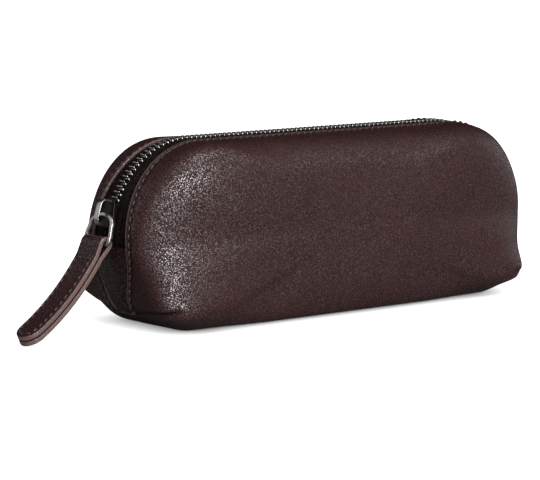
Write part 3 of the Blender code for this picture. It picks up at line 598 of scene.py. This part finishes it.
def make_tape(name, side):
    """Cloth from beside the chain, out under the leather edge."""
    run = np.linspace(-ZIP_RUN, ZIP_RUN, 260)[None, :]
    _, _, mouth, flat = section(run)
    share = np.linspace(0, 1, 15)[:, None]
    outer = np.maximum(TAPE_OUTER, flat + MARGIN / 2)
    across = np.concatenate([TAPE_INNER + (mouth - GAP - TAPE_INNER) * share,
                             mouth - GAP + (outer - mouth + GAP) * share[3::3]])
    uv = np.stack([run + 0 * across, across], axis=-1)
    obj = add_mesh(name, [pouch(run, across, tape_depth(run, across), side)], [uv])
    return thicken(obj, TAPE, 0.0002, 2)


TAPE_WEAVE = woven("tape_weave", (0.060, 0.034, 0.031, 1), (0.004, 0.002, 0.002, 1))
for name, side in (("front_tape", -1), ("rear_tape", 1)):
    tape = give(make_tape(name + "_cloth", side), TAPE_WEAVE)
    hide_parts(name)


# End tabs. A tab of the same leather covers the tapes' ends at each end of the zip. It has a cut,
# painted edge at the top, and its sides and foot go in under the leather.

TAB = 0.0009
TAB_SWELL = 0.00035              # how far it stands up in the middle
TAB_RUN = float(HALF_RUN[ROUND_POINTS]) + (SHOULDER - TAB_TOP) * END_RADIUS


def make_tab(name, way):
    """Leather between the two leather edges, from the tab's upper edge down to the zip's end."""
    down = np.linspace(0, 1, 40)[None, :]
    run = (TAB_RUN + (ZIP_RUN - GAP / 2 - TAB_RUN) * down) * way
    mouth = section(run)[2]
    share = np.linspace(-1, 1, 41)[:, None]
    across = (mouth - GAP / 2) * share
    swell = TAB_SWELL * (1 - share ** 4) * (1 - (1 - down) ** 8)
    depth = tape_depth(run, np.maximum(np.abs(across), TAPE_INNER)) - GAP - TAB - swell
    face = pouch(run, np.abs(across), depth)
    face[..., 1] *= np.sign(across)
    return thicken(add_mesh(name, [face]), TAB, 0.0003, 3)


TAB_HIDE = leather("tab_hide", (0.021, 0.009, 0.008, 1), (0.007, 0.0035, 0.003, 1),
                   (0.040, 0.028, 0.026, 1), 0.6)
for name, way in (("near_end_tab", -1), ("far_end_tab", 1)):
    tab = give(make_tab(name + "_hide", way), TAB_HIDE)
    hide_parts(name)


# Chain. Two rows of dark nickel teeth, each tooth clamped on a cord along the tape's inner edge and
# set in the gap between two teeth of the other row.

CHAIN_DEPTH = LEATHER + GAP + TAPE / 2 - CROWN
PITCH = 0.00225
TOOTH_THICK = 0.00078
TOOTH_REACH = 0.00075            # past the middle line
TOOTH_HEIGHT = 0.00115           # half of it
CHAIN_HALF = 0.0027
FIRST_TOOTH = 0.0008             # beyond the slider's middle
CORD = 0.00055                   # radius
CORD_INSET = 0.0007              # of its middle, from the chain's side
SLIDER_ANGLE = radians(16.4)
STOP_ANGLE = radians(2)
STOP_LENGTH = 0.0024
CORD_END = radians(8)            # where the cords stop on the near end's round, at the slider

SHOULDER_END = SHOULDER_X + (SHOULDER_RADIUS - CHAIN_DEPTH) * (pi / 2 - SHOULDER)


def chain_distance(angle):
    """Distance along the chain from the top's middle to an angle on an end's round."""
    return SHOULDER_END + (END_RADIUS - CHAIN_DEPTH) * (SHOULDER - angle)


def chain_places(distances):
    """Places on the chain's middle line with their directions along and out."""
    run = np.linspace(-ZIP_RUN, ZIP_RUN, 3000)
    place = outline(run)
    line = place[:, :2] - CHAIN_DEPTH * place[:, 2:]
    length = np.concatenate([[0], np.cumsum(np.linalg.norm(np.diff(line, axis=0), axis=1))])
    x, z, out_x, out_z = [np.interp(distances + length[-1] / 2, length, values)
                          for values in (line[:, 0], line[:, 1], place[:, 2], place[:, 3])]
    nothing = 0 * x
    return (np.stack([x, nothing, z], -1), unit(np.stack([out_z, nothing, -out_x], -1)),
            unit(np.stack([out_x, nothing, out_z], -1)))


def block_ring(count):
    """A ring of points round a block of half size 1: cos and sin, each to the power 0.45 with its sign."""
    turn = np.linspace(0, 2 * pi, count + 1) + pi / count
    c, s = np.cos(turn), np.sin(turn)
    return np.sign(c) * np.abs(c) ** 0.45, np.sign(s) * np.abs(s) ** 0.45


def make_teeth(name, side, offset):
    """Teeth as rounded blocks lofted across the zip, from the clamp on the cord to the narrower head."""
    start = FIRST_TOOTH - chain_distance(SLIDER_ANGLE) + offset
    end = chain_distance(STOP_ANGLE) - STOP_LENGTH - TOOTH_THICK
    places, along, out = chain_places(np.arange(start, end, PITCH))
    across = np.array([CHAIN_HALF, CHAIN_HALF, CHAIN_HALF - 0.0002, 0.0010, 0.0004, -0.0004,
                       0.00015 - TOOTH_REACH, -TOOTH_REACH, -TOOTH_REACH])[:, None]
    thick = np.array([0, 0.9, 1.2, 1.2, 1.0, 0.95, 0.95, 0.7, 0])[:, None] * TOOTH_THICK / 2
    height = np.array([0, 0.8, 1, 1, 0.72, 0.74, 0.7, 0.5, 0])[:, None] * TOOTH_HEIGHT
    ring_along, ring_out = block_ring(10)
    u, w = thick * ring_along, height * ring_out
    teeth = (places[:, None, None] + along[:, None, None] * u[..., None]
             + out[:, None, None] * w[..., None] + (across + 0 * u)[..., None] * np.array([0, side, 0]))
    return add_mesh(name, list(teeth))


metal = Finish("dark_nickel", {"Metallic": 1.0})
scuff = metal.noise(0.0012, 4.0)
metal.set(metal.shader, {
    "Base Color": metal.mix(scuff, (0.15, 0.138, 0.133, 1), (0.50, 0.48, 0.465, 1)),
    "Roughness": 0.16 + scuff * 0.18})
for name, side, offset in (("front_teeth", -1, 0.0), ("rear_teeth", 1, PITCH / 2)):
    teeth = give(make_teeth(name + "_metal", side, offset), metal.material)
    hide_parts(name)


def make_cord(name, side):
    """The tape's thickened inner edge: a round rod of radius CORD along the row."""
    distance = np.linspace(-chain_distance(CORD_END), chain_distance(0), 400)
    places, _, out = chain_places(distance)
    turn = np.linspace(0, 2 * pi, 9)[:, None, None]
    middle = places + np.array([0, side * (CHAIN_HALF - CORD_INSET), 0])
    ring = middle + CORD * (np.cos(turn) * out + np.sin(turn) * np.array([0, 1, 0]))
    return add_mesh(name, [ring])


for name, side in (("front_cord", -1), ("rear_cord", 1)):
    give(make_cord(name, side), TAPE_WEAVE)


# Slider. Cast in zinc and plated in dark nickel: two dull plates with rounded edges, joined by a post
# between the rows, run on the chain. A polished strip arched over the outer plate holds the pull.

SLIDER_LENGTH = 0.0118
SLIDER_WIDTH = 0.0090
PLATE_LOW = 0.0017               # from the chain's middle to a plate's inner face
PLATE_TOP = PLATE_LOW + 0.0009
PLATE_DOME = 0.0002              # how far a plate's middle stands over its rim
SUNK = 0.0003                    # how far the post and the flanges go into the plates
POST_AT = -0.0034                # along the slider, from its middle
FLANGE_AT = 0.0033               # across it
FLANGE_LOW = 0.0011
SLIDER_SEAT = 0.0002
WINDOW = 0.0042                  # between the plate and the strip's crown
BRIDGE = 0.0008
BRIDGE_WIDTH = 0.0026
BRIDGE_SUNK = 0.0002             # how far its feet go into the plate
BRIDGE_TOP = 0.83 * SLIDER_LENGTH / 2
BRIDGE_LOW = -0.93 * SLIDER_LENGTH / 2

polish = Finish("polished_dark_nickel", {"Metallic": 1.0})
haze = polish.noise(0.004, 3.0)
polish.set(polish.shader, {
    "Base Color": polish.mix(haze, (0.38, 0.355, 0.345, 1), (0.62, 0.59, 0.58, 1)),
    "Roughness": 0.22 + haze * 0.12})
dull = Finish("oxidised_nickel", {"Metallic": 1.0})
dull.set(dull.shader, {
    "Base Color": dull.mix(dull.noise(0.003, 3.0), (0.014, 0.011, 0.011, 1), (0.040, 0.034, 0.033, 1)),
    "Roughness": 0.34 + dull.noise(0.0012, 3.0) * 0.12})


def turned(points, x, z, turn):
    """Points of a frame at (x, z) in the middle plane, turned about Y."""
    u, v, w = points[..., 0], points[..., 1], points[..., 2]
    return np.stack([x + u * cos(turn) + w * sin(turn), v, z - u * sin(turn) + w * cos(turn)], axis=-1)


def on_slider(points):
    """Points from the slider's own frame to its place on the near end's round.

    In its frame, u is up the chain, v is to the rear and w is out.
    """
    lifted = points + np.array([0, 0, END_RADIUS - CHAIN_DEPTH - SLIDER_SEAT])
    return turned(lifted, -END_X, END_CENTRE, SLIDER_ANGLE - pi / 2)


def make_plate(name, low, high):
    """A plate over the slider's shield outline, its edge rounded as a half circle between low and high."""
    keys = np.array([(1.0, 0.0), (1.0, 0.34), (0.93, 0.58), (0.55, 0.74), (0.1, 0.84), (-0.4, 1.0),
                     (-0.82, 0.93), (-0.97, 0.6), (-1.0, 0.0)])
    fine = np.linspace(0, len(keys) - 1, 49)
    half = np.stack([np.interp(fine, np.arange(len(keys)), keys[:, i]) for i in range(2)], axis=1)
    for _ in range(3):
        half[1:-1] = (half[:-2] + 2 * half[1:-1] + half[2:]) / 4
    ring = np.concatenate([half, half[-2::-1] * np.array([1, -1])])
    ring = ring * np.array([SLIDER_LENGTH, SLIDER_WIDTH]) / 2
    turn = np.linspace(-pi / 2, pi / 2, 9)
    radius = (high - low) / 2
    inward = np.concatenate([[1.0], (1 - np.cos(turn)) * radius / (SLIDER_WIDTH / 2), [1.0]])
    level = np.concatenate([[low], (low + high) / 2 + radius * np.sin(turn), [high + PLATE_DOME]])
    rings = np.concatenate([ring[None] * (1 - inward[:, None, None]),
                            np.broadcast_to(level[:, None, None], (len(level), len(ring), 1))], axis=-1)
    return add_mesh(name, [on_slider(rings)])


def make_post_and_flanges():
    """Post between the parted rows and the flanges that close the plates' sides, as upright blocks."""
    high = PLATE_TOP - SUNK
    post = (POST_AT, 0.0, 0.0016, 0.0008, -high)
    flanges = [(0.0, side * FLANGE_AT, 0.0045, 0.0005, FLANGE_LOW) for side in (1, -1)]
    ring_u, ring_v = block_ring(16)
    parts = []
    for u, v, half_u, half_v, low in (post, *flanges):
        levels = np.array([low, high])[:, None]
        block = np.stack([u + half_u * ring_u + 0 * levels, v + half_v * ring_v + 0 * levels,
                          levels + 0 * ring_u], axis=-1)
        parts.append(on_slider(block))
    return add_mesh("slider_post", parts)


for obj in (make_plate("slider_plate_outer", PLATE_LOW, PLATE_TOP),
            make_plate("slider_plate_inner", -PLATE_TOP, -PLATE_LOW), make_post_and_flanges()):
    give(obj, dull.material, "slider")
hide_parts("slider_body")
# The three stops stay CAD solids, in the same dull metal.
for name in ("top_stop_front", "top_stop_rear", "bottom_stop"):
    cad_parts[name].data.materials.clear()
    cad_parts[name].data.materials.append(dull.material)


def make_bridge():
    """A rounded strip carried along a squared arch: u and w go as the roots of cosine and sine."""
    turn = np.linspace(0, pi, 49)
    half = (BRIDGE_TOP - BRIDGE_LOW - BRIDGE) / 2
    along = np.sign(np.cos(turn)) * np.abs(np.cos(turn)) ** 0.5
    up = np.sin(turn).clip(0) ** 0.5
    route = np.stack([(BRIDGE_TOP + BRIDGE_LOW) / 2 + half * along,
                      PLATE_TOP - BRIDGE_SUNK + (WINDOW + BRIDGE / 2) * up], axis=1)
    way = unit(np.gradient(route, axis=0))
    across, out = block_ring(16)
    width = BRIDGE_WIDTH / 2 * (1.0 + 0.12 * np.sin(turn))[:, None]
    u = route[:, :1] - way[:, 1:] * out * BRIDGE / 2
    w = route[:, 1:] + way[:, :1] * out * BRIDGE / 2
    return add_mesh("slider_bridge_strip", [on_slider(np.stack([u, width * across, w], axis=-1))])


bridge = give(make_bridge(), polish.material, "slider")
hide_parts("slider_bridge")


# Pull loop. A ring of dark nickel, round at the top where it hangs in the slider's strip, then splayed
# to a straight bar that carries the strap.

WIRE = 0.0016
LOOP_TOP = 0.0068                # half width, to the wire's middle
LOOP_RISE = 0.0040               # of the arch at the top
LOOP_LOW = 0.0075
LOOP_LENGTH = 0.0112
LOOP_SHANK = 0.0030
LOOP_CORNER = 0.0012
LOOP_LEAN = radians(19.0)
LOOP_HANG = -0.0008              # place of its top in the strip's window, along the slider

seat = on_slider(np.array([LOOP_HANG, 0, PLATE_TOP + GAP + WIRE / 2]))
BAR = turned(np.array([0, 0, -LOOP_LENGTH]), seat[0], seat[2], LOOP_LEAN)


def make_loop():
    """A rounded bar carried round the loop: half an ellipse, two sides, two corners and the straight bar."""
    arch = np.linspace(-pi / 2, pi / 2, 33)
    corner = np.linspace(pi / 2, 0, 9)
    top = np.stack([LOOP_TOP * np.sin(arch), LOOP_RISE * (np.cos(arch) - 1)], axis=1)
    foot = np.stack([LOOP_LOW - LOOP_CORNER * (1 - np.sin(corner)),
                     LOOP_CORNER * (1 - np.cos(corner)) - LOOP_LENGTH], axis=1)
    side_t = np.linspace(0, 1, 9)[1:, None]
    shank = np.array([LOOP_LOW, LOOP_SHANK - LOOP_LENGTH])
    side = top[-1] + (shank - top[-1]) * np.concatenate([smooth(side_t), side_t], axis=1)
    right = np.concatenate([side, foot])
    route = np.concatenate([top, right, right[::-1] * np.array([-1, 1])])
    way = unit(np.roll(route, -1, axis=0) - np.roll(route, 1, axis=0))
    beside, out = block_ring(14)
    y = route[:, :1] - way[:, 1:] * beside * WIRE / 2
    z = route[:, 1:] + way[:, :1] * beside * WIRE / 2
    rings = np.stack([out * WIRE / 2 + 0 * y, y, z], axis=-1)
    rings = np.concatenate([rings, rings[:1]])
    return add_mesh("pull_ring", [turned(rings, seat[0], seat[2], LOOP_LEAN)])


loop = give(make_loop(), polish.material, "loop")
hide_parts("pull_loop")


# Pull strap. A strip of the same hide, folded over the loop's bar and stitched to itself along both
# edges and round the tip, with a cross seam under the bar. Its cut edges are lighter: partly the raw
# leather, partly a painted highlight.

STRAP_WIDTH = 0.0126
PLY = 0.0019
STRAP_LENGTH = 0.0508
LEAN_TOP = radians(33)
LEAN_TIP = radians(67)
STRAP_SIDE = 0.0070              # how far the tip drifts to the front
STRAP_JOIN = 0.0060
PLY_HALF = (PLY + GAP) / 2
STRAP_SIDES = 40                 # faces round a ply


def strap_place(along, beside):
    """Points beside the strap's middle line, which leans more the further it goes.

    Its lean grows evenly, so x and z are the integrals of the lean's sine and cosine.
    """
    bend = (LEAN_TIP - LEAN_TOP) / STRAP_LENGTH
    lean = LEAN_TOP + bend * along
    return np.stack([BAR[0] + (np.cos(lean) - cos(LEAN_TOP)) / bend - beside * np.cos(lean),
                     BAR[2] + (sin(LEAN_TOP) - np.sin(lean)) / bend + beside * np.sin(lean)], axis=-1)


def strap_drift(along):
    """The middle line's way to the front, which grows as the power 1.6 of the way down."""
    return -STRAP_SIDE * np.clip(along / STRAP_LENGTH, 0, 1) ** 1.6


def strap_width(along):
    """Half width: the whole of it, then a half circle round the tip."""
    into = np.clip(along - STRAP_LENGTH + STRAP_WIDTH / 2, 0, None) / (STRAP_WIDTH / 2)
    return STRAP_WIDTH / 2 * np.sqrt(np.maximum(1 - into ** 2, 0.0))


def make_strap():
    """One strip: down the outer ply, with the plies drawn together, from the bend round the bar to the tips.
    """
    eye = WIRE / 2 + GAP + PLY / 2
    leave = asin(eye / hypot(STRAP_JOIN, PLY_HALF)) - atan2(PLY_HALF, STRAP_JOIN)
    tip = np.sin(np.linspace(pi / 2, 0, 14)) * STRAP_WIDTH / 2 + STRAP_LENGTH - STRAP_WIDTH / 2
    down = np.concatenate([tip, np.linspace(tip[-1], STRAP_JOIN, 50)[1:]])
    turn = np.linspace(leave, -pi - leave, 28)
    along = np.concatenate([down, eye * np.sin(turn), down[::-1]])
    beside = np.concatenate([down * 0 + PLY_HALF, eye * np.cos(turn), down * 0 - PLY_HALF])
    width = np.concatenate([strap_width(down), turn * 0 + STRAP_WIDTH / 2, strap_width(down)[::-1]])[:, None]
    route = strap_place(along, beside)
    way = unit(np.gradient(route, axis=0))
    turn = np.linspace(0, 2 * pi, STRAP_SIDES + 1) + pi / STRAP_SIDES
    c, s = np.cos(turn), np.sin(turn)
    face = np.sign(s) * np.abs(s) ** 0.35 * PLY / 2
    hand = np.sign(c) * np.abs(c) ** 0.12
    rings = np.stack([route[:, :1] - way[:, 1:] * face, strap_drift(along)[:, None] + width * hand,
                      route[:, 1:] + way[:, :1] * face], axis=-1)
    middle = np.repeat(rings[[0, -1]].mean(axis=1, keepdims=True), STRAP_SIDES + 1, axis=1)
    rings = np.concatenate([middle[:1], rings, middle[1:]])
    return add_mesh("strap_hide", [rings], cut=[smooth((np.abs(hand) - 0.93) / 0.06)])


# The strap's edges are lighter still: partly raw leather, partly a painted highlight on the lit side band.
STRAP_HIDE = leather("strap_hide", *DARK_BROWN, (0.230, 0.150, 0.138, 1), 0.8)
strap = give(make_strap(), STRAP_HIDE, "strap")
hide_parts("pull_strap")

SEAM_IN = 0.0017                 # strap's seam line, from its edge
CROSS_SEAM = 0.0078              # below the bar


def make_strap_seam(name, face):
    """Stitches down one edge, round the tip, up the other and across under the bar.

    They are on the outer ply for face 1, and on the inner one for face -1.
    """
    turn = np.linspace(0, pi / 2, 20)[1:]
    tip_centre = STRAP_LENGTH - STRAP_WIDTH / 2
    reach = STRAP_WIDTH / 2 - SEAM_IN
    along = np.concatenate([np.linspace(CROSS_SEAM, tip_centre, 60), tip_centre + reach * np.sin(turn)])
    half = reach * np.concatenate([np.ones(60), np.cos(turn)])
    along = np.concatenate([along, along[::-1], np.full(12, CROSS_SEAM)])
    half = np.concatenate([half, -half[::-1], reach * np.linspace(-1, 1, 12)])
    there = strap_place(along, face * (PLY_HALF + PLY / 2))
    line = np.stack([there[:, 0], strap_drift(along) + half, there[:, 1]], axis=1)
    lean = LEAN_TOP + (LEAN_TIP - LEAN_TOP) / STRAP_LENGTH * along
    out = face * np.stack([-np.cos(lean), 0 * lean, np.sin(lean)], axis=1)
    return make_seam(name, line, out)


for name, face in (("strap_seam_outer", 1), ("strap_seam_inner", -1)):
    give(make_strap_seam(name, face), thread.material, "strap")


# Studio. A white floor, whose own glow fades round the pouch as a painted shadow, a white surround,
# small low lights before the front for the leather's sheen, a broad one overhead and weak ones at the
# sides. The camera is 40 degrees to the left, 1 m off.

PHOTO = (540, 480)
FOCAL = 2492.4                   # in pixels of the photo
AIM_PIXEL = (312.1, 211.8)       # where the middle of the pouch falls
AIM = Vector((0, 0, 0.038))
LAMP_AWAY = 1.2                  # of each lamp from the pouch, in metres


def heading(azimuth, elevation):
    """Direction from the pouch, in degrees: azimuth 0 is in front, and 90 is on the right."""
    azimuth, elevation = radians(azimuth), radians(elevation)
    return Vector((sin(azimuth) * cos(elevation), -cos(azimuth) * cos(elevation), sin(elevation)))


camera = bpy.data.objects.new("camera", bpy.data.cameras.new("camera"))
bpy.context.scene.collection.objects.link(camera)
bpy.context.scene.camera = camera
towards = heading(-39.55, 6.83)
camera.location = AIM + towards
camera.rotation_euler = (-towards).to_track_quat("-Z", "Y").to_euler()
camera.data.sensor_width = 36.0
camera.data.lens = FOCAL / PHOTO[0] * camera.data.sensor_width
camera.data.shift_x = (PHOTO[0] / 2 - AIM_PIXEL[0]) / PHOTO[0]
camera.data.shift_y = (AIM_PIXEL[1] - PHOTO[1] / 2) / PHOTO[0]
camera.data.clip_start = 0.01


def lamp(name, azimuth, elevation, size, power):
    """A square soft light aimed at the pouch. The angles are in degrees, and the power is in watts."""
    light = bpy.data.lights.new(name, "AREA")
    light.size, light.energy = size, power
    obj = bpy.data.objects.new(name, light)
    away = heading(azimuth, elevation)
    obj.location = AIM + LAMP_AWAY * away
    obj.rotation_euler = away.to_track_quat("Z", "Y").to_euler()
    bpy.context.scene.collection.objects.link(obj)


lamp("key", -6, 18, 0.30, 3.4)
lamp("low", -4, 5, 0.24, 4.2)
lamp("near", -20, 28, 0.42, 6.6)
lamp("fill", 40, 34, 0.60, 1.2)
lamp("top", 10, 70, 0.80, 7.0)
lamp("left", -130, 20, 0.90, 1.8)
lamp("right", 95, 8, 0.35, 0.8)

FOOTPRINT = (0.068, 0.014, 0.0)  # half the rectangle under the pouch round which the floor's own light fades: a painted shadow
BLACK = (0.0, 0.0, 0.0, 1)
WHITE = (1.25, 1.25, 1.25, 1)    # with the lamps' light on the floor it still clips to white

floor = add_mesh("floor", [np.array([[[-9, -4, 0], [9, -4, 0]], [[-9, 12, 0], [9, 12, 0]]], float)])
paper = Finish("white_paper", {"Roughness": 0.9, "Specular IOR Level": 0.1, "Emission Strength": 1.0})
camera_ray = paper.node("ShaderNodeLightPath", {}, {}, "Is Camera Ray")
glossy_ray = paper.node("ShaderNodeLightPath", {}, {}, "Is Glossy Ray")
away = paper.node("ShaderNodeVectorMath", {"operation": "ABSOLUTE"}, {0: paper.place})
away = paper.node("ShaderNodeVectorMath", {"operation": "SUBTRACT"}, {0: away, 1: FOOTPRINT})
away = paper.node("ShaderNodeVectorMath", {"operation": "MAXIMUM"}, {0: away, 1: (0.0, 0.0, 0.0)})
away = paper.node("ShaderNodeVectorMath", {"operation": "LENGTH"}, {0: away}, "Value")
# Painted shadow: the floor's glow fades out towards the pouch, tightly near it and softly further off.
near_painted_shadow = paper.ramp(away, 0.0, 0.026)
wide_painted_shadow = paper.ramp(away, 0.05, 0.26)
glow_and_painted_shadow = paper.mix(near_painted_shadow * 0.66 + wide_painted_shadow * 0.25, BLACK, WHITE)
seen = camera_ray + glossy_ray * paper.ramp(away, 0.5, 2.5) * 0.5
# Painted shade in reflections: they see the floor darker than diffuse light does, and without glow near the
# pouch.
paper.set(paper.shader, {
    "Base Color": paper.mix(glossy_ray, (0.65, 0.65, 0.65, 1), (0.15, 0.15, 0.15, 1)),
    "Emission Color": paper.mix(seen, BLACK, glow_and_painted_shadow)})
floor.data.materials.append(paper.material)

world = bpy.data.worlds.new("studio")
bpy.context.scene.world = world
world.use_nodes = True
tree = world.node_tree
rays = tree.nodes.new("ShaderNodeLightPath")


def world_math(operation, first, second):
    """A Math node of the world between two sockets or numbers."""
    node = tree.nodes.new("ShaderNodeMath")
    node.operation, node.use_clamp = operation, True
    for socket, value in zip(node.inputs, (first, second)):
        if isinstance(value, bpy.types.NodeSocket):
            tree.links.new(value, socket)
        else:
            socket.default_value = value
    return node.outputs[0]


# The surround is white to the camera. Reflections see only the floor's white, and the rest of it dark.
seen = world_math("ADD", rays.outputs["Is Camera Ray"], rays.outputs["Is Transmission Ray"])
strength = world_math("ADD", world_math("MULTIPLY", rays.outputs["Is Diffuse Ray"], 0.3), seen)
tree.links.new(strength, tree.nodes["Background"].inputs["Strength"])
tree.nodes["Background"].inputs["Color"].default_value = (1, 1, 1, 1)
bpy.context.scene.view_settings.view_transform = "Standard"
